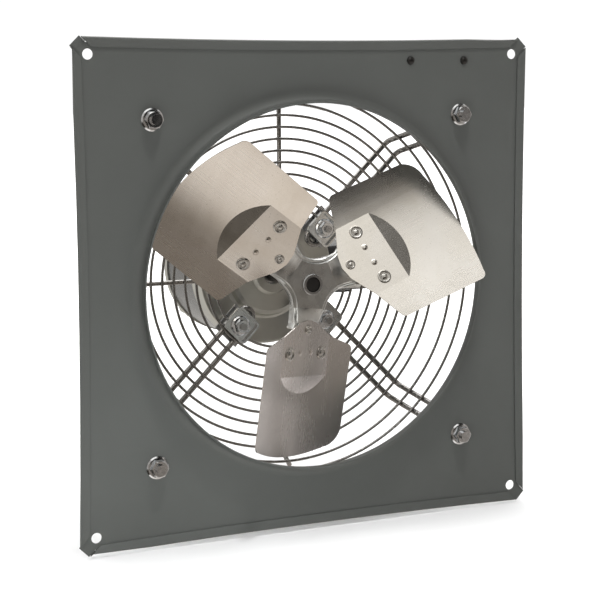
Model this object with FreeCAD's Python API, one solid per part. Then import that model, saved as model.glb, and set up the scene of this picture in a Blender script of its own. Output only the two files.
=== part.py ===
import FreeCAD, Part
import math
import os

# Panel-mounted exhaust hood fan. The fan axis is Y: air leaves towards -Y, the motor stands at +Y.
# The origin is on the fan axis, in the panel's discharge-side face, at the centre of the corner holes.

# Panel
SHEET = 1.2
PANEL_HALF = 206.4
EDGE_DIP = 2.6
FOLD_INSET = 0.6
HEM_WIDTH = 8.0
HEM_GAP = 1.2
CORNER_CUT = 7.8
MOUNT_HOLE_PITCH = 384.0
MOUNT_HOLE_R = 4.35
STRUT_BOLT_PITCH = 280.4
THROAT_R = 151.8
THROAT_BEND_R = 9.0
THROAT_DEPTH = 13.6
PLATE_SCREW_X = (92.0, 144.0)
PLATE_SCREW_Z = 186.5

# Wire guard
ROD_D = 4.8
RING_WIRE_D = 2.4
SPOKE_D = 4.0
LEG_PITCH = 14.0
GUARD_Y = 70.5
STRUT_INNER_S = 47.0
STRUT_SHOULDER_S = 156.0
STRUT_FOOT_S = 183.0
STRUT_BEND_R = 9.0
FOOT_BEND_R = 8.0
RING_INNER_R = 62.0
RING_FIRST_R = 69.0
RING_PITCH = 10.2
FACE_RINGS = 9
SIDE_RING_STEPS = (0.27, 0.49, 0.71)

# Fasteners
BOLT_R = 4.0
BOLT_CLEARANCE = 0.25
NUT_ACROSS_FLATS = 13.0
NUT_FLANGE_R = 9.4
SMALL_SCREW_R = 2.0

# Guard clamps on the motor
STUD_R = 3.0
STUD_S = 57.0
CLAMP_HALF_W = 13.0
CLAMP_S = (44.5, 68.0)
CLAMP_T = 1.6
CLAMP_LIP = 3.0
CLAMP_NUT_AF = 11.0
CLAMP_NUT_R = 8.6

# Motor
MOTOR_R = 63.5
SHELL_R = 62.3
SHELL_WALL = 1.5
BELL_FACE_Y = 99.0
SHELL_START_Y = 121.0
SHELL_END_Y = 184.0
REAR_FACE_Y = 206.0
STACK_START_Y = 136.0
STACK_END_Y = 170.0
STATOR_BORE_R = 32.0
AIR_GAP = 0.4
BEARING_R = 16.0
BEARING_W = 11.0
SHAFT_R = 6.35
SHAFT_FRONT_Y = 1.3
SHAFT_REAR_Y = 199.0
RUNNING_CLEARANCE = 0.03
BOX_X = 102.0
BOX_Y = (103.0, 150.0)
BOX_HALF_Z = 21.5

# Impeller
BLADE_AXES_DEG = (143.0, 23.0, 263.0)
BLADE_NAMES = ("left", "right", "bottom")
BLADE_PITCH_DEG = 30.0
BLADE_T = 1.0
PAD_Y = 1.6
PAD_HALF = 33.0
PAD_END_U = 77.4
CAMBER_R = 241.0
CRESCENT = 15.0
TIP_R = 146.0
RIVET_U = 58.2
RIVET_C = 22.8
RIVET_R = 2.4
ROOT_RIVET_U = 38.0
PIP_U = 57.6
PIP_C = 7.7
SPIDER_T = 2.5
SPIDER_ARC_R = 28.5
SPIDER_ARC_AT = 45.7
LIP_END_DEG = 65.0
LIP_STEPS = 13
LIP_PROFILE = (
    (-0.9, 0.5), (0.0, 0.4), (0.8, 1.1), (1.6, 1.3), (2.4, 1.0), (3.3, 1.4), (3.9, 2.5), (4.2, 4.0), (4.2, 7.5),
    (2.6, 7.5), (2.6, 3.6), (1.0, 3.0), (-0.9, 2.1))
ARM_ROOT_U = 20.0
ARM_PAD_U = 35.0
ARM_WIDE_U = 49.5
ARM_END_U = 66.0
HUB_R = 14.0
HUB_NOSE_R = 9.0
HUB_END_Y = 33.0

V = FreeCAD.Vector
X_AXIS = V(1, 0, 0)
Y_AXIS = V(0, 1, 0)
Z_AXIS = V(0, 0, 1)
ORIGIN = V(0, 0, 0)
DIAGONALS = (45.0, 135.0, 225.0, 315.0)

os.makedirs("parts", exist_ok=True)


def save(name, shape):
    shape.exportStep("parts/" + name + ".step")


def cyl(radius, y0, y1, x=0.0, z=0.0):
    """A cylinder along Y from y0 to y1."""
    return Part.makeCylinder(radius, y1 - y0, V(x, y0, z), Y_AXIS)


def box(x0, x1, y0, y1, z0, z1):
    return Part.makeBox(x1 - x0, y1 - y0, z1 - z0, V(x0, y0, z0))


def polygon_face(points):
    return Part.Face(Part.makePolygon(list(points) + [points[0]]))


def edges_face(edges):
    return Part.Face(Part.Wire(edges))


def line(a, b):
    return Part.LineSegment(a, b).toShape()


def arc(a, mid, b):
    return Part.Arc(a, mid, b).toShape()


def spin(face, degrees=360.0, axis_point=ORIGIN):
    """Revolves a face about an axis parallel to Y."""
    return face.revolve(axis_point, Y_AXIS, degrees)


def lathe(profile):
    """A solid of revolution about Y from (radius, y) corners."""
    return spin(polygon_face([V(r, y, 0) for r, y in profile]))


def turned(shape, degrees):
    """A copy turned about the fan axis, counter-clockwise as seen from the discharge side."""
    copy = shape.copy()
    copy.rotate(ORIGIN, Y_AXIS, -degrees)
    return copy


def polar(radius, degrees):
    """X and Z of a point on the fan face, counter-clockwise from +X as seen from the discharge side."""
    a = math.radians(degrees)
    return radius * math.cos(a), radius * math.sin(a)


def hexagon(across_flats, y0, y1, x=0.0, z=0.0):
    corner = across_flats / math.sqrt(3.0)
    points = []
    for k in range(6):
        dx, dz = polar(corner, 60.0 * k)
        points.append(V(x + dx, y0, z + dz))
    return polygon_face(points).extrude(V(0, y1 - y0, 0))


def fuse(shapes):
    return shapes[0].multiFuse(shapes[1:]).removeSplitter()


def tube_along(edges, diameter):
    """A round rod along a wire of tangent lines and arcs."""
    path = Part.Wire(edges)
    first = path.Edges[0]
    start = first.valueAt(first.FirstParameter)
    heading = first.tangentAt(first.FirstParameter)
    disc = Part.Face(Part.Wire(Part.makeCircle(diameter / 2.0, start, heading)))
    return path.makePipe(disc)


# ---------------------------------------------------------------- panel


def hem(edge_half):
    """One folded edge, along the top: a teardrop hem turned onto the discharge side, on a slightly
    hollow line. Its section is in the YZ plane and turns about a far axis above the panel."""
    fold_z = PANEL_HALF - FOLD_INSET - EDGE_DIP
    reach = MOUNT_HOLE_PITCH / 2.0
    sweep_r = (reach * reach + EDGE_DIP * EDGE_DIP) / (2.0 * EDGE_DIP)
    outer_r = SHEET + HEM_GAP / 2.0
    inner_r = HEM_GAP / 2.0
    mid_y = -inner_r
    bend_z = fold_z - outer_r
    tip_z = fold_z - HEM_WIDTH
    section = edges_face([
        line(V(0, SHEET, bend_z - 2.0), V(0, SHEET, bend_z)),
        arc(V(0, SHEET, bend_z), V(0, mid_y, bend_z + outer_r), V(0, mid_y - outer_r, bend_z)),
        line(V(0, mid_y - outer_r, bend_z), V(0, -SHEET, tip_z)),
        line(V(0, -SHEET, tip_z), V(0, 0, tip_z)),
        line(V(0, 0, tip_z), V(0, mid_y - inner_r, bend_z)),
        arc(V(0, mid_y - inner_r, bend_z), V(0, mid_y, bend_z + inner_r), V(0, 0, bend_z)),
        line(V(0, 0, bend_z), V(0, 0, bend_z - 2.0)),
        line(V(0, 0, bend_z - 2.0), V(0, SHEET, bend_z - 2.0)),
    ])
    centre = V(0, 0, fold_z + sweep_r)
    half_angle = math.degrees(math.asin(edge_half / sweep_r))
    section.rotate(centre, Y_AXIS, -half_angle)
    strip = spin(section, 2.0 * half_angle, centre)
    slope = PANEL_HALF - (PANEL_HALF - CORNER_CUT)
    inner = PANEL_HALF - 40.0
    cut_half = PANEL_HALF - slope - 0.6
    keep = polygon_face([
        V(-cut_half, -10, PANEL_HALF), V(cut_half, -10, PANEL_HALF),
        V(cut_half - 40.0, -10, inner), V(-cut_half + 40.0, -10, inner),
    ]).extrude(V(0, 20, 0))
    return strip.common(keep)


def make_panel():
    h = PANEL_HALF
    c = CORNER_CUT
    plate_z = h - FOLD_INSET - EDGE_DIP - SHEET - HEM_GAP / 2.0
    plate = box(-plate_z, plate_z, 0, SHEET, -plate_z, plate_z)
    ears = []
    for diagonal in DIAGONALS:
        ear = polygon_face([
            V(h, 0, h - c), V(h - c, 0, h), V(h - c - 22.0, 0, h - 22.0),
            V(h - 44.0, 0, h - 44.0), V(h - 22.0, 0, h - c - 22.0),
        ]).extrude(V(0, SHEET, 0))
        ears.append(turned(ear, diagonal - 45.0))
    hems = [turned(hem(h - c), k * 90.0) for k in range(4)]
    bell_start = THROAT_R + SHEET + THROAT_BEND_R
    panel = fuse([plate] + ears + hems)
    panel = panel.cut(cyl(bell_start, -5, 5))
    r0 = THROAT_R
    r1 = THROAT_R + SHEET
    y1 = -THROAT_BEND_R
    y2 = -THROAT_DEPTH
    out_mid = bell_start - THROAT_BEND_R * math.sin(math.radians(45))
    out_mid_y = y1 + THROAT_BEND_R * math.cos(math.radians(45))
    back_r = THROAT_BEND_R + SHEET
    in_mid = bell_start - back_r * math.sin(math.radians(45))
    in_mid_y = y1 + back_r * math.cos(math.radians(45))
    mouth = spin(edges_face([
        line(V(bell_start + 2.0, 0, 0), V(bell_start, 0, 0)),
        arc(V(bell_start, 0, 0), V(out_mid, out_mid_y, 0), V(r1, y1, 0)),
        line(V(r1, y1, 0), V(r1, y2, 0)),
        line(V(r1, y2, 0), V(r0, y2, 0)),
        line(V(r0, y2, 0), V(r0, y1, 0)),
        arc(V(r0, y1, 0), V(in_mid, in_mid_y, 0), V(bell_start, SHEET, 0)),
        line(V(bell_start, SHEET, 0), V(bell_start + 2.0, SHEET, 0)),
        line(V(bell_start + 2.0, SHEET, 0), V(bell_start + 2.0, 0, 0)),
    ]))
    panel = fuse([panel, mouth])
    hole = MOUNT_HOLE_PITCH / 2.0
    bolt = STRUT_BOLT_PITCH / 2.0
    for sx in (-1, 1):
        for sz in (-1, 1):
            panel = panel.cut(cyl(MOUNT_HOLE_R, -5, 5, sx * hole, sz * hole))
            panel = panel.cut(cyl(BOLT_R + BOLT_CLEARANCE, -5, 5, sx * bolt, sz * bolt))
    for x in PLATE_SCREW_X:
        panel = panel.cut(cyl(SMALL_SCREW_R + 0.1, -5, 5, x, PLATE_SCREW_Z))
    return panel


save("panel", make_panel())

# ---------------------------------------------------------------- wire guard

FOOT_Y = SHEET + ROD_D / 2.0
BOLT_S = STRUT_BOLT_PITCH / 2.0 * math.sqrt(2.0)


def rounded(points, radii):
    """Tangent lines and arcs through corner points, each inner corner rounded to its radius."""
    edges = []
    start = points[0]
    for k in range(1, len(points) - 1):
        back = (points[k - 1] - points[k]).normalize()
        ahead = (points[k + 1] - points[k]).normalize()
        half = back.getAngle(ahead) / 2.0
        cut = radii[k - 1] / math.tan(half)
        a = points[k] + back * cut
        b = points[k] + ahead * cut
        bisector = (back + ahead).normalize()
        centre = points[k] + bisector * (radii[k - 1] / math.sin(half))
        edges.append(line(start, a))
        edges.append(arc(a, centre - bisector * radii[k - 1], b))
        start = b
    edges.append(line(start, points[-1]))
    return edges


def make_strut():
    """A closed hairpin of rod along +X: two legs on the guard's plane that step down to the panel and
    loop round the panel bolt."""
    t = LEG_PITCH / 2.0
    corners = ((STRUT_INNER_S, GUARD_Y), (STRUT_SHOULDER_S, GUARD_Y), (STRUT_FOOT_S, FOOT_Y), (BOLT_S, FOOT_Y))
    radii = (STRUT_BEND_R, FOOT_BEND_R)
    left = rounded([V(s, y, t) for s, y in corners], radii)
    right = rounded([V(s, y, -t) for s, y in corners], radii)
    turn = arc(V(BOLT_S, FOOT_Y, t), V(BOLT_S + t, FOOT_Y, 0), V(BOLT_S, FOOT_Y, -t))
    legs = tube_along(left + [turn] + right[::-1], ROD_D)
    end = [arc(V(STRUT_INNER_S, GUARD_Y, t), V(STRUT_INNER_S - t, GUARD_Y, 0), V(STRUT_INNER_S, GUARD_Y, -t))]
    return fuse([legs, tube_along(end, ROD_D)])


def strut_point(step):
    """Radius and Y of the strut's centre line, from its shoulder (0) to its foot (1)."""
    s = STRUT_SHOULDER_S + step * (STRUT_FOOT_S - STRUT_SHOULDER_S)
    y = GUARD_Y + step * (FOOT_Y - GUARD_Y)
    return s, y


strut = make_strut()
save("guard_struts", Part.makeCompound([turned(strut, a) for a in DIAGONALS]))

ring_y = GUARD_Y - ROD_D / 2.0 - RING_WIRE_D / 2.0 + 0.3
ring_radii = [RING_INNER_R] + [RING_FIRST_R + k * RING_PITCH for k in range(FACE_RINGS)]
face_rings = [Part.makeTorus(radius, RING_WIRE_D / 2.0, V(0, ring_y, 0), Y_AXIS) for radius in ring_radii]
save("guard_face_rings", Part.makeCompound(face_rings))

slope = math.atan2(GUARD_Y - FOOT_Y, STRUT_FOOT_S - STRUT_SHOULDER_S)
stand_off = ROD_D / 2.0 + RING_WIRE_D / 2.0 - 0.3
side_rings = []
for step in SIDE_RING_STEPS:
    s, y = strut_point(step)
    side_rings.append(Part.makeTorus(
        s - stand_off * math.sin(slope), RING_WIRE_D / 2.0, V(0, y - stand_off * math.cos(slope), 0), Y_AXIS))
save("guard_side_rings", Part.makeCompound(side_rings))

spoke_y = ring_y + RING_WIRE_D / 2.0 + SPOKE_D / 2.0 - 0.3
side_s, side_y = strut_point(SIDE_RING_STEPS[0])
spoke_start = V(RING_INNER_R - 2.0, spoke_y, 0)
spoke_bend = V(STRUT_SHOULDER_S - 2.0, spoke_y, 0)
spoke_end = V(side_s + 1.0, side_y + 0.5, 0)
spoke = tube_along(rounded([spoke_start, spoke_bend, spoke_end], (4.0,)), SPOKE_D)
save("guard_spokes", Part.makeCompound([turned(spoke, 90.0 * k) for k in range(4)]))

# ---------------------------------------------------------------- panel fasteners

PITCH = STRUT_BOLT_PITCH / 2.0
BOLT_SPOTS = ((-PITCH, -PITCH), (-PITCH, PITCH), (PITCH, -PITCH), (PITCH, PITCH))
ROD_BACK_Y = SHEET + ROD_D
WASHER_T = 1.6
HEAD_H = 5.3


def panel_bolt(x, z):
    y = ROD_BACK_Y + WASHER_T
    head = hexagon(NUT_ACROSS_FLATS, y, y + HEAD_H, x, z)
    return fuse([head, cyl(BOLT_R, -11.0, y, x, z)])


def flange_nut(x, z):
    skirt = lathe([(BOLT_R, 0), (NUT_FLANGE_R, 0), (NUT_FLANGE_R, -1.0), (NUT_FLANGE_R - 1.2, -1.8), (BOLT_R, -2.6)])
    skirt.translate(V(x, 0, z))
    body = hexagon(NUT_ACROSS_FLATS, -8.0, -1.0, x, z).cut(cyl(BOLT_R, -9, 0, x, z))
    crown = lathe([(0, -1.0), (12.0, -1.0), (12.0, -5.5), (6.2, -8.0), (0, -8.0)])
    crown.translate(V(x, 0, z))
    return fuse([skirt, body.common(crown)])


def washer(bore, radius, y0, y1, x, z):
    return cyl(radius, y0, y1, x, z).cut(cyl(bore, y0 - 1, y1 + 1, x, z))


save("panel_bolts", Part.makeCompound([panel_bolt(x, z) for x, z in BOLT_SPOTS]))
save("panel_flange_nuts", Part.makeCompound([flange_nut(x, z) for x, z in BOLT_SPOTS]))
save("panel_bolt_washers", Part.makeCompound(
    [washer(BOLT_R + 0.2, 12.0, ROD_BACK_Y, ROD_BACK_Y + WASHER_T, x, z) for x, z in BOLT_SPOTS]))

STRIP_T = 1.5
strip = box(PLATE_SCREW_X[0] - 9, PLATE_SCREW_X[1] + 9, SHEET, SHEET + STRIP_T, PLATE_SCREW_Z - 7, PLATE_SCREW_Z + 7)
strip_screws = []
strip_nuts = []
for x in PLATE_SCREW_X:
    strip = strip.cut(cyl(SMALL_SCREW_R + 0.1, 0, 5, x, PLATE_SCREW_Z))
    head = lathe([(0, 0), (3.6, 0), (3.2, -1.3), (1.6, -2.0), (0, -2.1)])
    head.translate(V(x, 0, PLATE_SCREW_Z))
    slot = box(x - 2.0, x + 2.0, -2.5, -1.2, PLATE_SCREW_Z - 0.4, PLATE_SCREW_Z + 0.4)
    strip_screws.append(fuse([head, cyl(SMALL_SCREW_R, 0, 8.0, x, PLATE_SCREW_Z)]).cut(slot))
    nut = hexagon(7.0, SHEET + STRIP_T, SHEET + STRIP_T + 3.0, x, PLATE_SCREW_Z)
    strip_nuts.append(nut.cut(cyl(SMALL_SCREW_R, 0, 9, x, PLATE_SCREW_Z)))
save("backing_strip", strip)
save("strip_screws", Part.makeCompound(strip_screws))
save("strip_nuts", Part.makeCompound(strip_nuts))

# ---------------------------------------------------------------- guard clamps on the motor

RING_FRONT = ring_y - RING_WIRE_D / 2.0
ROD_BACK = GUARD_Y + ROD_D / 2.0
SADDLE_FRONT = RING_FRONT - CLAMP_T
PLATE_BACK = ROD_BACK + CLAMP_T


def on_diagonals(shape):
    return Part.makeCompound([turned(shape, a) for a in DIAGONALS])


def make_saddle():
    """A pressed strap over both legs of a strut and the rings that cross them, with its four edges turned up
    towards the discharge side."""
    s0, s1 = CLAMP_S
    w = CLAMP_HALF_W
    tray = box(s0, s1, SADDLE_FRONT - CLAMP_LIP, RING_FRONT, -w, w)
    upright = [e for e in tray.Edges if abs(e.BoundBox.YLength - CLAMP_LIP - CLAMP_T) < 0.01]
    tray = tray.makeFillet(4.0, upright)
    back_rim = [e for e in tray.Edges if abs(e.BoundBox.YMin - RING_FRONT) < 0.01 and e.BoundBox.YLength < 0.01]
    tray = tray.makeFillet(1.4, back_rim)
    hollow = box(s0 + CLAMP_T, s1 - CLAMP_T, SADDLE_FRONT - CLAMP_LIP - 1, SADDLE_FRONT, CLAMP_T - w, w - CLAMP_T)
    corner = [e for e in hollow.Edges if abs(e.BoundBox.YLength - CLAMP_LIP - 1) < 0.01]
    hollow = hollow.makeFillet(2.4, corner)
    scoop = cyl(9.6, SADDLE_FRONT - CLAMP_LIP - 1, SADDLE_FRONT, STUD_S, 0)
    return tray.cut(hollow).cut(scoop).cut(cyl(STUD_R + 0.2, 40, 90, STUD_S, 0))


def make_back_plate():
    w = CLAMP_HALF_W
    plate = box(CLAMP_S[0], CLAMP_S[1] + 4.0, ROD_BACK, PLATE_BACK, -w, w)
    return plate.cut(cyl(STUD_R + 0.2, 40, 90, STUD_S, 0))


save("clamp_saddles", on_diagonals(make_saddle()))
save("clamp_plates", on_diagonals(make_back_plate()))
y = SADDLE_FRONT
flange = lathe([(STUD_R, y), (CLAMP_NUT_R, y), (CLAMP_NUT_R, y - 1.0), (CLAMP_NUT_R - 1.2, y - 1.8), (STUD_R, y - 2.4)])
nut_crown = lathe([(0, y - 0.8), (12.0, y - 0.8), (12.0, y - 5.0), (5.2, y - 7.2), (0, y - 7.2)])
clamp_nut = hexagon(CLAMP_NUT_AF, y - 7.2, y - 0.8).cut(cyl(STUD_R, 40, 90)).common(nut_crown)
clamp_nut = fuse([flange, clamp_nut])
clamp_nut.translate(V(STUD_S, 0, 0))
save("clamp_nuts", on_diagonals(clamp_nut))
save("stud_spacers", on_diagonals(washer(STUD_R + 0.2, 5.5, PLATE_BACK, BELL_FACE_Y, STUD_S, 0)))

# ---------------------------------------------------------------- motor

SEAT_FRONT_Y = 89.0
SEAT_REAR_Y = REAR_FACE_Y - 4.0
BORE_R = SHELL_R - SHELL_WALL
REGISTER = 4.0
REAR_PAD_Y = 199.5

front_bell = lathe([
    (9.0, 85.0), (16.0, 85.0), (18.5, 88.5), (33.0, 90.0), (36.5, 92.0), (38.5, 97.5), (41.0, 99.0),
    (61.2, BELL_FACE_Y), (62.8, BELL_FACE_Y + 0.7), (MOTOR_R, BELL_FACE_Y + 2.3), (MOTOR_R, SHELL_START_Y),
    (BORE_R, SHELL_START_Y), (BORE_R, SHELL_START_Y + REGISTER), (BORE_R - 3.0, SHELL_START_Y + REGISTER),
    (BORE_R - 3.0, BELL_FACE_Y + 3.5), (40.0, BELL_FACE_Y + 3.5), (34.0, 94.5), (20.0, 93.5),
    (20.0, SEAT_FRONT_Y + BEARING_W), (BEARING_R, SEAT_FRONT_Y + BEARING_W), (BEARING_R, SEAT_FRONT_Y),
    (9.0, SEAT_FRONT_Y),
])
rear_bell = lathe([
    (9.0, REAR_FACE_Y), (19.0, REAR_FACE_Y), (21.0, 203.5), (40.0, 201.5), (56.0, 198.0), (61.5, 194.5),
    (MOTOR_R, 191.0), (MOTOR_R, SHELL_END_Y), (BORE_R, SHELL_END_Y), (BORE_R, SHELL_END_Y - REGISTER),
    (BORE_R - 3.0, SHELL_END_Y - REGISTER), (BORE_R - 3.0, 192.0), (54.0, 194.5), (40.0, 198.0), (20.0, 199.0),
    (20.0, SEAT_REAR_Y - BEARING_W), (BEARING_R, SEAT_REAR_Y - BEARING_W), (BEARING_R, SEAT_REAR_Y),
    (9.0, SEAT_REAR_Y),
])
for a in DIAGONALS:
    x, z = polar(STUD_S, a)
    front_bell = front_bell.cut(cyl(STUD_R + 0.2, 90, 140, x, z))
    rear_pad = cyl(6.0, 190.0, REAR_PAD_Y, x, z)
    rear_bell = rear_bell.fuse(rear_pad.common(cyl(MOTOR_R, 180, 210))).cut(cyl(STUD_R + 0.2, 170, 210, x, z))
for k in range(8):
    slot = box(27.0, 46.0, 190.0, 210.0, -2.5, 2.5)
    slot = slot.fuse([cyl(2.5, 190, 210, 27, 0), cyl(2.5, 190, 210, 46, 0)])
    rear_bell = rear_bell.cut(turned(slot, 22.5 + 45.0 * k))
save("front_bell", front_bell.removeSplitter())
save("rear_bell", rear_bell.removeSplitter())

shell = lathe([
    (BORE_R, SHELL_START_Y), (SHELL_R, SHELL_START_Y), (SHELL_R, SHELL_END_Y), (BORE_R, SHELL_END_Y)])
save("motor_shell", shell)

stator = lathe([
    (STATOR_BORE_R, STACK_START_Y), (BORE_R, STACK_START_Y), (BORE_R, STACK_END_Y), (STATOR_BORE_R, STACK_END_Y)])
for k in range(24):
    tooth_gap = box(STATOR_BORE_R + 2.0, 46.0, 130, 180, -1.6, 1.6)
    tooth_gap = tooth_gap.fuse(box(STATOR_BORE_R - 1.0, STATOR_BORE_R + 2.5, 130, 180, -0.8, 0.8))
    stator = stator.cut(turned(tooth_gap, 15.0 * k + 7.5))
for a in DIAGONALS:
    x, z = polar(STUD_S, a)
    stator = stator.cut(cyl(STUD_R + 0.3, 120, 190, x, z))
save("stator_core", stator)


def end_turns(y0, y1, y_mid):
    return lathe([
        (36.0, y0), (45.5, y0), (48.5, y_mid), (46.5, y1), (38.0, y1), (35.0, y_mid)])


save("stator_windings", Part.makeCompound([
    end_turns(STACK_START_Y, 124.5, 129.0), end_turns(STACK_END_Y, 181.5, 177.0)]))


def bearing(y0):
    """A self-contained bearing: outer race, inner face rings and a running bore over the shaft."""
    y1 = y0 + BEARING_W
    bore = SHAFT_R + RUNNING_CLEARANCE
    return lathe([
        (bore, y0), (10.0, y0), (10.0, y0 + 0.6), (13.5, y0 + 0.6), (13.5, y0), (BEARING_R, y0),
        (BEARING_R, y1), (13.5, y1), (13.5, y1 - 0.6), (10.0, y1 - 0.6), (10.0, y1), (bore, y1),
    ])


save("front_bearing", bearing(SEAT_FRONT_Y))
save("rear_bearing", bearing(SEAT_REAR_Y - BEARING_W))

stud = fuse([
    cyl(STUD_R, SADDLE_FRONT - 9.5, REAR_PAD_Y, STUD_S, 0), hexagon(10.0, REAR_PAD_Y, REAR_PAD_Y + 4.0, STUD_S, 0)])
save("through_studs", on_diagonals(stud))

# ---------------------------------------------------------------- conduit box on the motor's side

bz = BOX_HALF_Z
motor_skin = lathe([
    (0, 90), (MOTOR_R, 90), (MOTOR_R, SHELL_START_Y), (SHELL_R, SHELL_START_Y), (SHELL_R, 190), (0, 190)])
WALL = 1.5
y0, y1 = BOX_Y
case = box(50, BOX_X, y0, y1, -bz, bz)
long_edges = [e for e in case.Edges if abs(e.BoundBox.XLength - (BOX_X - 50)) < 0.01]
case = case.makeFillet(5.0, long_edges)
cavity = box(66.5, BOX_X + 1, y0 + WALL, y1 - WALL, -bz + WALL, bz - WALL)
case = case.cut(cavity).cut(motor_skin)
lugs = []
for y, z in ((y0 + 5.5, 0), (y1 - 5.5, 0)):
    lugs.append(Part.makeCylinder(4.0, 8.0, V(BOX_X - 8.0, y, z), X_AXIS))
lug_web = [box(BOX_X - 8.0, BOX_X, y0 + 1, y0 + 5.5, -2, 2), box(BOX_X - 8.0, BOX_X, y1 - 5.5, y1 - 1, -2, 2)]
case = fuse([case] + lugs + lug_web)
GLAND_Y = 126.0
entry = Part.makeCylinder(8.0, 10.0, V(84.0, GLAND_Y, -bz - 5.0), Z_AXIS)
case = case.cut(entry)
foot_screws = []
for y in (y1 - 14.0, SHELL_START_Y + 4.0):
    case = case.cut(Part.makeCylinder(2.1, 20.0, V(50.0, y, 0), X_AXIS))
    stem = Part.makeCylinder(2.0, 68.5 - SHELL_R, V(SHELL_R, y, 0), X_AXIS)
    foot_screws.append(stem.fuse(Part.makeCylinder(3.6, 1.8, V(66.5, y, 0), X_AXIS)).removeSplitter())
cover = box(BOX_X, BOX_X + 1.5, y0, y1, -bz, bz)
short_edges = [e for e in cover.Edges if abs(e.BoundBox.XLength - 1.5) < 0.01]
cover = cover.makeFillet(5.0, short_edges)
cover_screws = []
for y in (y0 + 5.5, y1 - 5.5):
    hole = Part.makeCylinder(1.6, 12.0, V(BOX_X - 7.0, y, 0), X_AXIS)
    case = case.cut(hole)
    cover = cover.cut(hole)
    stem = Part.makeCylinder(1.5, 8.0, V(BOX_X - 6.5, y, 0), X_AXIS)
    cap = Part.makeCylinder(3.0, 1.6, V(BOX_X + 1.5, y, 0), X_AXIS)
    cover_screws.append(stem.fuse(cap).removeSplitter())
save("conduit_box", case)
save("conduit_box_cover", cover)
save("cover_screws", Part.makeCompound(cover_screws))
save("box_screws", Part.makeCompound(foot_screws))
bush = Part.makeCylinder(11.0, 3.0, V(84.0, GLAND_Y, -bz - 3.0), Z_AXIS)
bush = bush.fuse(Part.makeCylinder(8.0, 3.0 + WALL + 2.0, V(84.0, GLAND_Y, -bz - 3.0), Z_AXIS))
bush = bush.cut(Part.makeCylinder(5.5, 20.0, V(84.0, GLAND_Y, -bz - 6.0), Z_AXIS))
save("cable_bush", bush.removeSplitter())

# ---------------------------------------------------------------- rotor: shaft, core and hub

shaft = lathe([
    (0, SHAFT_FRONT_Y), (SHAFT_R - 0.8, SHAFT_FRONT_Y), (SHAFT_R, SHAFT_FRONT_Y + 0.8), (SHAFT_R, SHAFT_REAR_Y),
    (0, SHAFT_REAR_Y)])
save("shaft", shaft)

core_r = STATOR_BORE_R - AIR_GAP
save("rotor_core", lathe([
    (SHAFT_R, STACK_START_Y), (core_r, STACK_START_Y), (core_r, STACK_END_Y), (SHAFT_R, STACK_END_Y)]))


def end_ring(y0, outward):
    ring = lathe([(19.0, y0), (core_r - 0.6, y0), (core_r - 1.6, y0 + outward * 7.0), (20.0, y0 + outward * 7.0)])
    fins = []
    for k in range(10):
        low = min(y0 + outward * 6.0, y0 + outward * 12.0)
        fins.append(turned(box(21.5, 28.5, low, low + 6.0, -0.8, 0.8), 36.0 * k))
    return fuse([ring] + fins)


save("rotor_end_rings", Part.makeCompound([end_ring(STACK_START_Y, -1.0), end_ring(STACK_END_Y, 1.0)]))

collar_front = lathe([(SHAFT_R, 101.5), (9.5, 101.5), (9.5, 104.5), (SHAFT_R, 104.5)])
collar_rear = lathe([(SHAFT_R, 187.0), (9.5, 187.0), (9.5, 190.0), (SHAFT_R, 190.0)])
save("shaft_collars", Part.makeCompound([collar_front, collar_rear]))

HUB_FRONT_Y = PAD_Y + BLADE_T
hub = lathe([
    (SHAFT_R, HUB_FRONT_Y - 1.6), (HUB_NOSE_R - 0.7, HUB_FRONT_Y - 1.6), (HUB_NOSE_R, HUB_FRONT_Y - 0.9),
    (HUB_NOSE_R, HUB_FRONT_Y + SPIDER_T), (HUB_R, HUB_FRONT_Y + SPIDER_T), (HUB_R, HUB_END_Y - 1.0),
    (HUB_R - 1.0, HUB_END_Y), (SHAFT_R, HUB_END_Y)])
set_hole = Part.makeCylinder(3.0, HUB_R - SHAFT_R + 4.0, V(SHAFT_R, 22.0, 0), X_AXIS)
SET_SCREW_DEG = 203.0
hub = hub.cut(turned(set_hole, SET_SCREW_DEG))
save("hub_barrel", hub)
set_screw = Part.makeCylinder(3.0, 9.0, V(SHAFT_R, 22.0, 0), X_AXIS)
key_points = []
for k in range(6):
    dy, dz = polar(1.5, 60.0 * k)
    key_points.append(V(SHAFT_R + 6.0, 22.0 + dy, dz))
set_screw = set_screw.cut(polygon_face(key_points).extrude(V(5, 0, 0)))
save("hub_set_screw", turned(set_screw, SET_SCREW_DEG))

# ---------------------------------------------------------------- rotor: spider

P = math.radians(BLADE_PITCH_DEG)


def pitched(shape, angle_deg):
    """Takes a shape from blade coordinates (x out along the blade axis, y along the chord, z out of the pad
    towards the discharge side) to the fan, with the blade axis at the given angle."""
    copy = shape.copy()
    copy.rotate(ORIGIN, X_AXIS, 90.0 - BLADE_PITCH_DEG)
    copy.translate(V(0, PAD_Y, 0))
    return turned(copy, angle_deg)


def arm_half_width(u):
    """Half width of a spider arm where the round bays on its two sides leave it."""
    du = u - SPIDER_ARC_AT * 0.5
    return SPIDER_ARC_AT * math.sin(math.radians(60)) - math.sqrt(SPIDER_ARC_R ** 2 - du ** 2)


def arm_point(u, c, n):
    """A point of a spider arm along +X, c across the arm and n out of its face. The arm is flat at the hub
    and twists up to the blade's pitch between its root and its pad."""
    twist = (u - ARM_ROOT_U) / (ARM_PAD_U - ARM_ROOT_U)
    t = P * min(max(twist, 0.0), 1.0)
    return V(u, PAD_Y + c * math.sin(t) - n * math.cos(t), c * math.cos(t) + n * math.sin(t))


def arm_section(u):
    w = arm_half_width(u)
    corners = ((-w, -BLADE_T), (w, -BLADE_T), (w, -BLADE_T - SPIDER_T), (-w, -BLADE_T - SPIDER_T))
    points = [arm_point(u, c, n) for c, n in corners]
    return Part.makePolygon(points + [points[0]])


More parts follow.
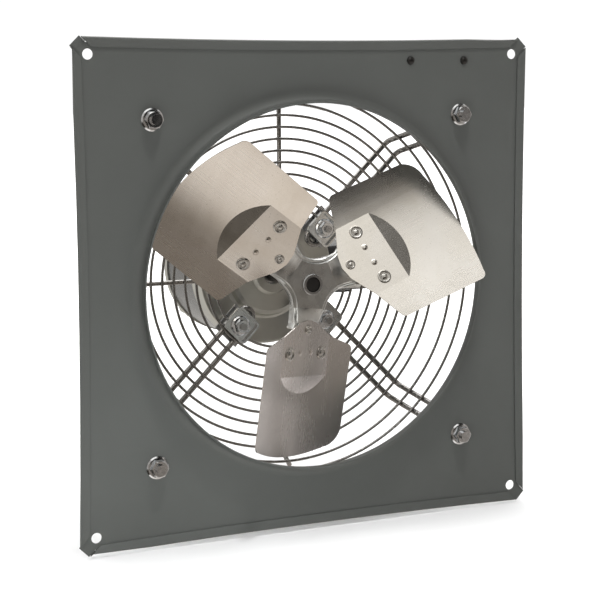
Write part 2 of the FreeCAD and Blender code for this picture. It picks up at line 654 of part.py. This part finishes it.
def arm_lip(side):
    """The rolled rim of a bay along one side of an arm, from the middle of the bay to under the blade: a
    bead along the edge, then a skirt turned back."""
    sections = []
    for k in range(LIP_STEPS + 1):
        a = math.radians(240.0 + LIP_END_DEG * k / LIP_STEPS)
        u = SPIDER_ARC_AT * 0.5 + SPIDER_ARC_R * math.cos(a)
        c = SPIDER_ARC_AT * math.sin(math.radians(60)) + SPIDER_ARC_R * math.sin(a)
        points = []
        for out, back in LIP_PROFILE:
            p = arm_point(u, side * (c - out * math.sin(a)), -BLADE_T - back)
            points.append(p - V(out * math.cos(a), 0, 0))
        sections.append(Part.makePolygon(points + [points[0]]))
    return Part.makeLoft(sections, True, True)


def make_spider():
    pieces = []
    y = HUB_FRONT_Y
    w = arm_half_width(ARM_ROOT_U)
    edges = []
    for k in range(3):
        a = math.radians(120.0 * k)
        b = math.radians(120.0 * k + 60.0)
        c = math.radians(120.0 * (k + 1))
        low = V(ARM_ROOT_U * math.cos(a) + w * math.sin(a), y, ARM_ROOT_U * math.sin(a) - w * math.cos(a))
        high = V(ARM_ROOT_U * math.cos(a) - w * math.sin(a), y, ARM_ROOT_U * math.sin(a) + w * math.cos(a))
        after = V(ARM_ROOT_U * math.cos(c) + w * math.sin(c), y, ARM_ROOT_U * math.sin(c) - w * math.cos(c))
        reach = SPIDER_ARC_AT - SPIDER_ARC_R
        edges.append(line(low, high))
        edges.append(arc(high, V(reach * math.cos(b), y, reach * math.sin(b)), after))
    plate = edges_face(edges).extrude(V(0, SPIDER_T, 0))
    pieces.append(turned(plate, BLADE_AXES_DEG[1]))
    step = (ARM_PAD_U - ARM_ROOT_U) / 3.0
    sections = []
    for k in range(4):
        sections.append(arm_section(ARM_ROOT_U + step * k))
    neck = Part.makeLoft(sections, True, True)
    w0 = arm_half_width(ARM_PAD_U)
    u1 = ARM_WIDE_U
    w1 = arm_half_width(u1)
    mid = 43.0
    wm = arm_half_width(mid)
    pad = edges_face([
        line(V(ARM_PAD_U, -w0, 0), V(ARM_PAD_U, w0, 0)),
        arc(V(ARM_PAD_U, w0, 0), V(mid, wm, 0), V(u1, w1, 0)),
        line(V(u1, w1, 0), V(ARM_END_U - 6.0, w1, 0)),
        line(V(ARM_END_U - 6.0, w1, 0), V(ARM_END_U, w1 - 6.0, 0)),
        line(V(ARM_END_U, w1 - 6.0, 0), V(ARM_END_U, 6.0 - w1, 0)),
        line(V(ARM_END_U, 6.0 - w1, 0), V(ARM_END_U - 6.0, -w1, 0)),
        line(V(ARM_END_U - 6.0, -w1, 0), V(u1, -w1, 0)),
        arc(V(u1, -w1, 0), V(mid, -wm, 0), V(ARM_PAD_U, -w0, 0)),
    ]).extrude(V(0, 0, -SPIDER_T))
    pad.translate(V(0, 0, -BLADE_T))
    for c in (-RIVET_C, RIVET_C):
        pad = pad.cut(Part.makeCylinder(RIVET_R, 20, V(RIVET_U, c, -10), Z_AXIS))
    pad = pad.cut(Part.makeCylinder(RIVET_R, 20, V(ROOT_RIVET_U, 0, -10), Z_AXIS))
    for angle in BLADE_AXES_DEG:
        pieces.append(turned(neck, angle))
        pieces.append(pitched(pad, angle))
        for side in (-1, 1):
            pieces.append(turned(arm_lip(side), angle))
    return fuse(pieces).cut(cyl(HUB_NOSE_R, -5, 20))


save("spider", make_spider())

# ---------------------------------------------------------------- rotor: blades and rivets


def make_blade():
    """One blade in blade coordinates: a hollow-curved sheet with a flat raised pad at its root. The pad's
    outer edge falls back to the sheet over a tilted crescent."""
    sag = CAMBER_R - math.sqrt(CAMBER_R ** 2 - PAD_HALF ** 2)
    centre = V(0, 0, CAMBER_R - sag)
    ring = Part.makeCylinder(CAMBER_R + BLADE_T, 140, V(20, 0, centre.z), X_AXIS)
    ring = ring.cut(Part.makeCylinder(CAMBER_R, 142, V(19, 0, centre.z), X_AXIS))
    sheet = ring.common(Part.makeBox(140, 150, 60, V(20, -75, -30)))
    trailing = rounded([V(30, 0, 0), V(32, 11, 0), V(44, 33.5, 0), V(52.5, 60.5, 0), V(125.5, 57.3, 0)], (6.0, 9.0, 5.0))
    leading = rounded([V(30, 0, 0), V(32, -11, 0), V(44, -33.5, 0), V(52, -62.5, 0), V(130, -66.3, 0)], (6.0, 9.0, 4.0))
    lead_u = math.sqrt(TIP_R ** 2 - (60.0 * math.cos(P)) ** 2)
    edges = trailing + leading + [
        arc(V(125.5, 57.3, 0), V(134.2, 52.2, 0), V(140.0, 40.0, 0)),
        arc(V(140.0, 40.0, 0), V(TIP_R - 0.5, 0, 0), V(lead_u, -60.0, 0)),
        arc(V(lead_u, -60.0, 0), V(134.6, -64.4, 0), V(130, -66.3, 0)),
    ]
    outline = Part.Face(Part.Wire(Part.__sortEdges__(edges)))
    outline.translate(V(0, 0, -30))
    outline = outline.extrude(V(0, 0, 60))
    sheet = sheet.common(outline)
    far_u = PAD_END_U + CRESCENT
    window = edges_face([
        line(V(20, -PAD_HALF, -30), V(20, PAD_HALF, -30)),
        line(V(20, PAD_HALF, -30), V(PAD_END_U, PAD_HALF, -30)),
        arc(V(PAD_END_U, PAD_HALF, -30), V(far_u, 0, -30), V(PAD_END_U, -PAD_HALF, -30)),
        line(V(PAD_END_U, -PAD_HALF, -30), V(20, -PAD_HALF, -30)),
    ]).extrude(V(0, 0, 60))
    back = BLADE_T
    raised = polygon_face([
        V(20, -PAD_HALF - 1, 0), V(PAD_END_U, -PAD_HALF - 1, 0), V(far_u + 2, -PAD_HALF - 1, -sag * 17.0 / 15.0),
        V(far_u + 2, -PAD_HALF - 1, -sag * 17.0 / 15.0 - back), V(PAD_END_U - 0.3, -PAD_HALF - 1, -back),
        V(20, -PAD_HALF - 1, -back),
    ]).extrude(V(0, 2 * PAD_HALF + 2, 0))
    raised = raised.common(window).common(outline)
    blade = sheet.cut(window).fuse(raised)
    pips = []
    for c in (-PIP_C, PIP_C):
        ball = Part.makeSphere(4.6, V(PIP_U, c, -3.7))
        pips.append(ball.common(Part.makeBox(10, 10, 5, V(PIP_U - 5, c - 5, -0.5))))
    blade = blade.fuse(pips)
    for c in (-RIVET_C, RIVET_C):
        blade = blade.cut(Part.makeCylinder(RIVET_R, 20, V(RIVET_U, c, -10), Z_AXIS))
    return blade.cut(Part.makeCylinder(RIVET_R, 20, V(ROOT_RIVET_U, 0, -10), Z_AXIS)).removeSplitter()


def rivet(u, c, head_r):
    """A rivet through blade and spider arm: in front a raised rim round a groove and a centre dome, and a
    plain head behind."""
    grip = -BLADE_T - SPIDER_T
    h = head_r
    profile = [
        (0, 1.7), (0.17 * h, 1.6), (0.32 * h, 1.25), (0.43 * h, 0.7), (0.5 * h, 0.35), (0.6 * h, 0.4), (0.7 * h, 0.9),
        (0.8 * h, 1.2), (0.9 * h, 1.1), (0.98 * h, 0.7), (h, 0.0), (RIVET_R, 0.0), (RIVET_R, grip),
        (h - 0.8, grip), (h - 1.4, grip - 1.4), (0, grip - 1.8)]
    face = polygon_face([V(r, 0, z) for r, z in profile])
    solid = face.revolve(ORIGIN, Z_AXIS, 360)
    solid.translate(V(u, c, 0))
    return solid


blade = make_blade()
for name, angle in zip(BLADE_NAMES, BLADE_AXES_DEG):
    save("blade_" + name, pitched(blade, angle))
pad_rivets = [rivet(RIVET_U, -RIVET_C, 5.9), rivet(RIVET_U, RIVET_C, 5.9)]
save("pad_rivets", Part.makeCompound([pitched(r, a) for a in BLADE_AXES_DEG for r in pad_rivets]))
save("root_rivets", Part.makeCompound([pitched(rivet(ROOT_RIVET_U, 0, 4.2), a) for a in BLADE_AXES_DEG]))
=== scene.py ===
import math

import bpy
from mathutils import Matrix, Vector


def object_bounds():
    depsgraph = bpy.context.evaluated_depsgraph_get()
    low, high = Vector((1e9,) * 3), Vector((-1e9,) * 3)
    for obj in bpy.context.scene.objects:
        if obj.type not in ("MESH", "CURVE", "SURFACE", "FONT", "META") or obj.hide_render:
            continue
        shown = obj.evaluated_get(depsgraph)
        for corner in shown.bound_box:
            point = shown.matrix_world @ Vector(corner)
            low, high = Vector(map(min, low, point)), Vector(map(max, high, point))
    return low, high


# Looks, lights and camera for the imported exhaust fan. Every length is in metres, in the CAD frame:
# the fan axis is Y, the discharge side faces -Y and the motor stands at +Y.

# Camera
CAMERA_AT = Vector((-0.5851, -1.2699, 0.1767))
CAMERA_YAW = math.radians(25.818)
CAMERA_PITCH = math.radians(-5.175)
CAMERA_ROLL = math.radians(-0.297)
CAMERA_LENS_MM = 101.05
CAMERA_SHIFT = (-0.075, -0.125)
SENSOR_WIDTH_MM = 36.0
CLIP_FROM = 0.05
CLIP_TO = 60.0

# Impeller: direction of each blade's axis, counter-clockwise from +X seen from the discharge side
BLADE_AXES = {"blade_left": 143.0, "blade_right": 23.0, "blade_bottom": 263.0}

# Floor: how far it reaches each way, how far it lies under the part, and where its glow starts and is full
FLOOR_REACH = 14.0
FLOOR_GAP = 0.001
FLOOR_GLOW_FROM = 0.5
FLOOR_GLOW_FULL = 2.2


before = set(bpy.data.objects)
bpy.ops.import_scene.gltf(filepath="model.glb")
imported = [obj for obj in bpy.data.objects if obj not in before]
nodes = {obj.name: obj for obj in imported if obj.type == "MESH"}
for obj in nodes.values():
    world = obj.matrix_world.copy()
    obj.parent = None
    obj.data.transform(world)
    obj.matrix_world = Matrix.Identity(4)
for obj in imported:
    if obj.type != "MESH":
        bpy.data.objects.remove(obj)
bpy.context.scene.view_settings.view_transform = "Standard"
cad_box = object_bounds()

# ---------------------------------------------------------------- material kit


class Mat:
    """A material and short calls for its nodes. Coordinates are in the object's own frame, in metres."""

    def __init__(self, name, base, metallic, roughness):
        self.material = bpy.data.materials.new(name)
        self.material.use_nodes = True
        self.tree = self.material.node_tree
        self.bsdf = self.tree.nodes["Principled BSDF"]
        self.coords = self.node("ShaderNodeTexCoord").outputs["Object"]
        self.set("Base Color", (*base, 1.0))
        self.set("Metallic", metallic)
        self.set("Roughness", roughness)

    def node(self, kind):
        return self.tree.nodes.new(kind)

    def link(self, source, target):
        self.tree.links.new(source, target)

    def set(self, socket, value):
        self.bsdf.inputs[socket].default_value = value

    def plug(self, source, socket):
        self.link(source, self.bsdf.inputs[socket])

    def mapped(self, scale, turn=(0, 0, 0)):
        """The coordinates turned first and then scaled."""
        turner = self.node("ShaderNodeMapping")
        turner.inputs["Rotation"].default_value = [math.radians(a) for a in turn]
        self.link(self.coords, turner.inputs["Vector"])
        scaler = self.node("ShaderNodeMapping")
        scaler.inputs["Scale"].default_value = scale
        self.link(turner.outputs[0], scaler.inputs["Vector"])
        return scaler.outputs[0]

    def noise(self, scale, detail=3.0, rough=0.5, vector=None, distortion=0.0):
        n = self.node("ShaderNodeTexNoise")
        n.inputs["Scale"].default_value = scale
        n.inputs["Detail"].default_value = detail
        n.inputs["Roughness"].default_value = rough
        n.inputs["Distortion"].default_value = distortion
        self.link(vector or self.coords, n.inputs["Vector"])
        return n.outputs["Fac"]

    def remap(self, source, low, high, from_low=0.3, from_high=0.7):
        n = self.node("ShaderNodeMapRange")
        n.inputs["From Min"].default_value = from_low
        n.inputs["From Max"].default_value = from_high
        n.inputs["To Min"].default_value = low
        n.inputs["To Max"].default_value = high
        self.link(source, n.inputs["Value"])
        return n.outputs[0]

    def math(self, operation, *values):
        n = self.node("ShaderNodeMath")
        n.operation = operation
        for socket, value in zip(n.inputs, values):
            if isinstance(value, (int, float)):
                socket.default_value = value
            else:
                self.link(value, socket)
        return n.outputs[0]

    def ramp(self, source, stops):
        """A colour ramp from (position, colour) stops."""
        n = self.node("ShaderNodeValToRGB")
        marks = n.color_ramp.elements
        while len(marks) < len(stops):
            marks.new(0.5)
        for mark, (place, colour) in zip(marks, stops):
            mark.position = place
            mark.color = (*colour, 1.0)
        self.link(source, n.inputs[0])
        return n.outputs[0]

    def mix(self, factor, a, b):
        n = self.node("ShaderNodeMix")
        n.data_type = "RGBA"
        for socket, value in ((n.inputs[0], factor), (n.inputs[6], a), (n.inputs[7], b)):
            if isinstance(value, (int, float)):
                socket.default_value = value
            elif isinstance(value, tuple):
                socket.default_value = (*value, 1.0)
            else:
                self.link(value, socket)
        return n.outputs[2]

    def bump(self, source, height, strength, under=None):
        n = self.node("ShaderNodeBump")
        n.inputs["Strength"].default_value = strength
        n.inputs["Distance"].default_value = height
        self.link(source, n.inputs["Height"])
        if under is not None:
            self.link(under, n.inputs["Normal"])
        return n.outputs[0]

    def split(self):
        n = self.node("ShaderNodeSeparateXYZ")
        self.link(self.coords, n.inputs[0])
        return n.outputs

    def distance(self, a, b):
        """The length of the flat vector with sides a and b."""
        squares = self.math("ADD", self.math("MULTIPLY", a, a), self.math("MULTIPLY", b, b))
        return self.math("SQRT", squares)


def scaled(colour, factor):
    return tuple(c * factor for c in colour)


def dress(material, *names):
    for name in names:
        for slot in nodes[name].material_slots:
            slot.material = material


# ---------------------------------------------------------------- paint


ORANGE_PEEL = 0.00006


def enamel(name, colour, roughness, coat):
    """Sprayed enamel: orange peel, soft blotches and faint dust specks."""
    m = Mat(name, colour, 0.0, roughness)
    blotch = m.noise(9.0, 4.0, 0.55)
    tone = m.ramp(blotch, [(0.25, scaled(colour, 0.93)), (0.75, scaled(colour, 1.07))])
    specks = m.remap(m.noise(1500.0, 2.0, 0.6), 0.0, 0.175, 0.5, 0.8)
    tone = m.mix(specks, tone, scaled(colour, 1.6))
    m.plug(tone, "Base Color")
    m.plug(m.remap(m.noise(35.0, 4.0), roughness - 0.05, roughness + 0.07), "Roughness")
    m.set("Coat Weight", coat)
    m.set("Coat Roughness", 0.22)
    fine = m.bump(m.noise(420.0, 2.0, 0.5), ORANGE_PEEL, 0.6)
    m.plug(m.bump(m.noise(60.0, 2.0), ORANGE_PEEL * 3.0, 0.25, fine), "Normal")
    return m.material


# ---------------------------------------------------------------- metals


def blade_metal(name, axis_deg, tint, dark):
    """Rolled aluminium sheet: fine rolling lines along the blade, cloudy tarnish and small scratches, on a tone
    and a darker cloud tone given per blade that carry painted light and shade.
    """
    m = Mat(name, tint, 1.0, 0.3)
    along = m.mapped((18.0, 700.0, 700.0), (0.0, axis_deg, 0.0))
    lines = m.noise(1.0, 3.0, 0.6, along)
    across = m.mapped((260.0, 26.0, 26.0), (0.0, axis_deg + 24.0, 0.0))
    haze = m.noise(0.35, 4.0, 0.5, across)
    cloud = m.noise(14.0, 5.0, 0.55, distortion=0.6)
    tone = m.ramp(cloud, [(0.3, dark), (0.7, tint)])
    tone = m.mix(m.remap(lines, 0.0, 0.08), tone, scaled(tint, 0.82))
    tone = m.mix(m.remap(haze, 0.0, 0.12), tone, (0.98, 0.95, 0.9))
    pits = m.remap(m.noise(900.0, 1.0), 0.0, 0.5, 0.66, 0.8)
    tone = m.mix(pits, tone, scaled(dark, 0.6))
    m.plug(tone, "Base Color")
    rough = m.math("ADD", m.remap(cloud, 0.23, 0.29), m.remap(lines, -0.01, 0.015))
    m.plug(rough, "Roughness")
    fine = m.bump(lines, 0.000002, 0.3)
    m.plug(m.bump(m.noise(11.0, 2.0), 0.0008, 0.08, fine), "Normal")
    return m.material


def zinc(name, colour, roughness, spangle):
    """Zinc plate: small crystals in slightly different tones, with dull stains."""
    m = Mat(name, colour, 1.0, roughness)
    cells = m.node("ShaderNodeTexVoronoi")
    cells.inputs["Scale"].default_value = spangle
    m.link(m.coords, cells.inputs["Vector"])
    shade = m.node("ShaderNodeRGBToBW")
    m.link(cells.outputs["Color"], shade.inputs[0])
    tone = m.ramp(shade.outputs[0], [(0.2, scaled(colour, 0.84)), (0.8, colour)])
    stain = m.remap(m.noise(45.0, 4.0), 0.0, 0.4, 0.45, 0.75)
    tone = m.mix(stain, tone, tuple(c * k for c, k in zip(colour, (0.72, 0.7, 0.64))))
    m.plug(tone, "Base Color")
    m.plug(m.remap(m.noise(150.0, 3.0), roughness - 0.06, roughness + 0.1), "Roughness")
    m.plug(m.bump(m.noise(700.0, 2.0), 0.00003, 0.5), "Normal")
    return m.material


def turned_metal(name, colour, roughness, pitch=0.0006):
    """Turned metal: concentric tool marks about the fan axis, with a slight stain."""
    m = Mat(name, colour, 1.0, roughness)
    x, _, z = m.split()
    groove = m.math("SINE", m.math("MULTIPLY", m.distance(x, z), 2.0 * math.pi / pitch))
    stain = m.noise(30.0, 4.0)
    m.plug(m.ramp(stain, [(0.3, scaled(colour, 0.8)), (0.75, colour)]), "Base Color")
    m.plug(m.remap(stain, roughness - 0.05, roughness + 0.1), "Roughness")
    fine = m.bump(groove, 0.00003, 0.35)
    m.plug(m.bump(m.noise(500.0, 3.0), 0.00004, 0.5, fine), "Normal")
    return m.material


def winding(name):
    """Varnished copper end turns: fine wires side by side round the axis."""
    m = Mat(name, (0.45, 0.16, 0.06), 0.6, 0.35)
    strands = m.noise(1.0, 2.0, 0.6, m.mapped((60.0, 1500.0, 60.0)))
    m.plug(m.ramp(strands, [(0.35, (0.2, 0.06, 0.025)), (0.6, (0.55, 0.22, 0.09))]), "Base Color")
    m.plug(m.bump(strands, 0.0004, 0.8), "Normal")
    return m.material


def moulded(name, colour):
    """Moulded plastic with a fine matt grain."""
    m = Mat(name, colour, 0.0, 0.45)
    grain = m.noise(800.0, 3.0)
    m.plug(m.ramp(grain, [(0.3, colour), (0.7, tuple(c * 1.5 + 0.01 for c in colour))]), "Base Color")
    m.plug(m.remap(grain, 0.4, 0.55), "Roughness")
    m.plug(m.bump(grain, 0.00005, 0.5), "Normal")
    return m.material


dress(enamel("panel_enamel", (0.069, 0.072, 0.067), 0.45, coat=0.12), "panel")
dress(zinc("bright_zinc", (0.88, 0.9, 0.93), 0.13, 500.0), "panel_bolts", "panel_flange_nuts", "strip_nuts",
      "clamp_nuts", "cover_screws", "box_screws")
dress(zinc("washer_zinc", (0.5, 0.5, 0.52), 0.3, 400.0), "panel_bolt_washers", "backing_strip", "clamp_plates")
dress(zinc("strap_zinc", (0.8, 0.82, 0.83), 0.14, 300.0), "clamp_saddles")
dress(zinc("wire_zinc", (0.36, 0.35, 0.34), 0.2, 600.0), "guard_struts", "guard_face_rings", "guard_side_rings",
      "guard_spokes")
dress(zinc("dark_screw", (0.12, 0.12, 0.12), 0.35, 600.0), "strip_screws")
dress(zinc("spider_zinc", (0.8, 0.81, 0.8), 0.3, 180.0), "spider")
dress(turned_metal("dark_steel", (0.1, 0.1, 0.1), 0.3), "shaft")
dress(turned_metal("turned_steel", (0.55, 0.55, 0.55), 0.22), "hub_barrel", "shaft_collars",
      "stud_spacers", "through_studs", "front_bearing", "rear_bearing", "hub_set_screw")
dress(zinc("rivet_steel", (0.66, 0.64, 0.61), 0.22, 900.0), "pad_rivets", "root_rivets")
dress(turned_metal("bell_metal", (0.72, 0.72, 0.67), 0.34, 0.0009), "front_bell", "rear_bell")
dress(enamel("motor_enamel", (0.035, 0.035, 0.034), 0.25, coat=0.8), "motor_shell")
dress(enamel("box_enamel", (0.02, 0.02, 0.02), 0.35, coat=0.5), "conduit_box", "conduit_box_cover")
dress(turned_metal("core_steel", (0.3, 0.3, 0.32), 0.4), "stator_core", "rotor_core", "rotor_end_rings")
dress(winding("copper_winding"), "stator_windings")
dress(moulded("bush_nylon", (0.02, 0.02, 0.02)), "cable_bush")
# Per blade: its tone and the darker tone of its cloud. The three blades are the same aluminium; their different
# tones are painted light and shade for how each blade is lit and what it reflects.
BLADE_TONES_WITH_PAINTED_LIGHT = {
    "blade_left": ((0.78, 0.73, 0.68), (0.62, 0.56, 0.49)),
    "blade_right": ((0.84, 0.81, 0.77), (0.7, 0.66, 0.6)),
    "blade_bottom": ((0.7, 0.66, 0.63), (0.6, 0.56, 0.53)),
}
for name, (tint, dark) in BLADE_TONES_WITH_PAINTED_LIGHT.items():
    dress(blade_metal(name + "_metal", BLADE_AXES[name], tint, dark), name)

# ---------------------------------------------------------------- stage, lights and camera


def floor_material():
    """Pale paper that glows more the farther it lies from the part, so its edge melts into the white room."""
    m = Mat("floor_paper", (0.9, 0.9, 0.9), 0.0, 0.7)
    m.plug(m.ramp(m.noise(3.0, 3.0), [(0.3, (0.88, 0.88, 0.88)), (0.7, (0.92, 0.92, 0.92))]), "Base Color")
    x, y, _ = m.split()
    m.set("Emission Color", (1.0, 1.0, 1.0, 1.0))
    m.plug(m.remap(m.distance(x, y), 0.0, 1.0, FLOOR_GLOW_FROM, FLOOR_GLOW_FULL), "Emission Strength")
    return m.material


def lay_floor():
    z = cad_box[0].z - FLOOR_GAP
    corners = ((-1, -1), (1, -1), (1, 1), (-1, 1))
    mesh = bpy.data.meshes.new("floor")
    mesh.from_pydata([(x * FLOOR_REACH, y * FLOOR_REACH, z) for x, y in corners], [], [(0, 1, 2, 3)])
    mesh.materials.append(floor_material())
    floor = bpy.data.objects.new("floor", mesh)
    floor.visible_glossy = False
    bpy.context.scene.collection.objects.link(floor)


lay_floor()

# Studio seen only in reflections: direction it lies in, half-angle in degrees, colour. Later patches cover
# earlier ones. They are placed for the camera's own view, and the blades mirror others of them from elsewhere.
STUDIO_BASE = (0.62, 0.6, 0.57)
STUDIO_PATCHES = (
    ((0.0, -0.2, 1.0), 62.0, (0.78, 0.77, 0.74)),
    ((0.0, -0.1, -1.0), 60.0, (0.66, 0.61, 0.56)),
    ((0.0, -1.0, 0.0), 48.0, (0.22, 0.195, 0.17)),
    ((1.0, -0.25, -0.1), 42.0, (0.36, 0.33, 0.3)),
    ((0.0, -0.8, 0.6), 9.0, (1.35, 1.33, 1.28)),
    ((-0.1, -0.64, 0.77), 19.0, (1.1, 1.08, 1.03)),
    ((0.52, -0.45, 0.73), 18.0, (0.02, 0.018, 0.015)),
    ((-0.47, -0.67, -0.55), 23.0, (0.03, 0.026, 0.02)),
    ((0.26, -0.95, 0.22), 20.0, (0.01, 0.01, 0.01)),
    ((-0.2, -0.38, -0.9), 16.0, (1.0, 0.95, 0.89)),
    ((0.74, 0.64, -0.2), 26.0, (0.7, 0.68, 0.67)),
    ((0.88, 0.03, -0.47), 12.0, (1.25, 1.2, 1.2)),
)
PATCH_INNER = 0.7  # of the half-angle: full colour inside this
PATCH_OUTER = 1.25  # of the half-angle: nothing beyond this
BACKDROP_GLOW = 1.05
ROOM_LIGHT = 0.56


def studio_world():
    """White room for the eye and for soft light, and a studio of soft-edged patches for reflections."""
    world = bpy.data.worlds.new("studio")
    world.use_nodes = True
    tree = world.node_tree
    plain = tree.nodes["Background"]
    plain.inputs["Color"].default_value = (1.0, 1.0, 1.0, 1.0)
    plain.inputs["Strength"].default_value = ROOM_LIGHT
    white = tree.nodes.new("ShaderNodeBackground")
    white.inputs["Color"].default_value = (1.0, 1.0, 1.0, 1.0)
    white.inputs["Strength"].default_value = BACKDROP_GLOW
    mirror = tree.nodes.new("ShaderNodeBackground")
    rays = tree.nodes.new("ShaderNodeLightPath")
    coords = tree.nodes.new("ShaderNodeTexCoord")
    colour = None
    for direction, half_angle, tone in STUDIO_PATCHES:
        dot = tree.nodes.new("ShaderNodeVectorMath")
        dot.operation = "DOT_PRODUCT"
        tree.links.new(coords.outputs["Generated"], dot.inputs[0])
        dot.inputs[1].default_value = Vector(direction).normalized()
        soft = tree.nodes.new("ShaderNodeMapRange")
        soft.interpolation_type = "SMOOTHSTEP"
        soft.inputs["From Min"].default_value = math.cos(math.radians(half_angle * PATCH_OUTER))
        soft.inputs["From Max"].default_value = math.cos(math.radians(half_angle * PATCH_INNER))
        tree.links.new(dot.outputs["Value"], soft.inputs["Value"])
        mix = tree.nodes.new("ShaderNodeMix")
        mix.data_type = "RGBA"
        tree.links.new(soft.outputs[0], mix.inputs[0])
        if colour is None:
            mix.inputs[6].default_value = (*STUDIO_BASE, 1.0)
        else:
            tree.links.new(colour, mix.inputs[6])
        mix.inputs[7].default_value = (*tone, 1.0)
        colour = mix.outputs[2]
    tree.links.new(colour, mirror.inputs["Color"])
    for_mirrors = tree.nodes.new("ShaderNodeMixShader")
    tree.links.new(rays.outputs["Is Glossy Ray"], for_mirrors.inputs[0])
    tree.links.new(plain.outputs[0], for_mirrors.inputs[1])
    tree.links.new(mirror.outputs[0], for_mirrors.inputs[2])
    for_eye = tree.nodes.new("ShaderNodeMixShader")
    tree.links.new(rays.outputs["Is Camera Ray"], for_eye.inputs[0])
    tree.links.new(for_mirrors.outputs[0], for_eye.inputs[1])
    tree.links.new(white.outputs[0], for_eye.inputs[2])
    tree.links.new(for_eye.outputs[0], tree.nodes["World Output"].inputs["Surface"])
    bpy.context.scene.world = world


studio_world()


WHITE = (1.0, 1.0, 1.0)
COOL_WHITE = (0.93, 0.98, 1.0)
# name, place, point it aims at, size, watts, colour, seen in reflections
SOFTBOXES = (
    ("key", (-0.05, -0.62, 1.75), (0.0, 0.0, 0.0), (0.22, 0.22), 20.0, WHITE, False),
    ("fill", (-1.2, -1.5, 0.7), (0.0, 0.0, 0.0), (0.9, 0.9), 1.5, WHITE, False),
    ("low_fill", (-0.14, -0.3, -0.16), (-0.06, 0.0, -0.19), (0.35, 0.06), 0.6, COOL_WHITE, False),
    ("floor_glow", (0.0, 1.2, 2.6), (0.0, 1.2, -0.2), (3.0, 3.0), 90.0, WHITE, True),
)


def softbox(name, at, aim, size, watts, colour, glossy):
    light = bpy.data.lights.new(name, "AREA")
    light.shape = "RECTANGLE"
    light.size, light.size_y = size
    light.energy = watts
    light.color = colour
    lamp = bpy.data.objects.new(name, light)
    lamp.location = at
    lamp.rotation_mode = "QUATERNION"
    lamp.rotation_quaternion = (Vector(aim) - Vector(at)).to_track_quat("-Z", "Y")
    lamp.visible_camera = False
    lamp.visible_glossy = glossy
    bpy.context.scene.collection.objects.link(lamp)


for box in SOFTBOXES:
    softbox(*box)

camera_data = bpy.data.cameras.new("camera")
camera_data.lens = CAMERA_LENS_MM
camera_data.sensor_width = SENSOR_WIDTH_MM
camera_data.shift_x, camera_data.shift_y = CAMERA_SHIFT
camera_data.clip_start = CLIP_FROM
camera_data.clip_end = CLIP_TO
camera = bpy.data.objects.new("camera", camera_data)
bpy.context.scene.collection.objects.link(camera)
forward = Vector((
    math.sin(CAMERA_YAW) * math.cos(CAMERA_PITCH), math.cos(CAMERA_YAW) * math.cos(CAMERA_PITCH),
    math.sin(CAMERA_PITCH)))
level_right = Vector((math.cos(CAMERA_YAW), -math.sin(CAMERA_YAW), 0.0))
level_up = level_right.cross(forward)
right = level_right * math.cos(CAMERA_ROLL) + level_up * math.sin(CAMERA_ROLL)
up = level_up * math.cos(CAMERA_ROLL) - level_right * math.sin(CAMERA_ROLL)
camera.matrix_world = Matrix.Translation(CAMERA_AT) @ Matrix((right, up, -forward)).transposed().to_4x4()
bpy.context.scene.camera = camera
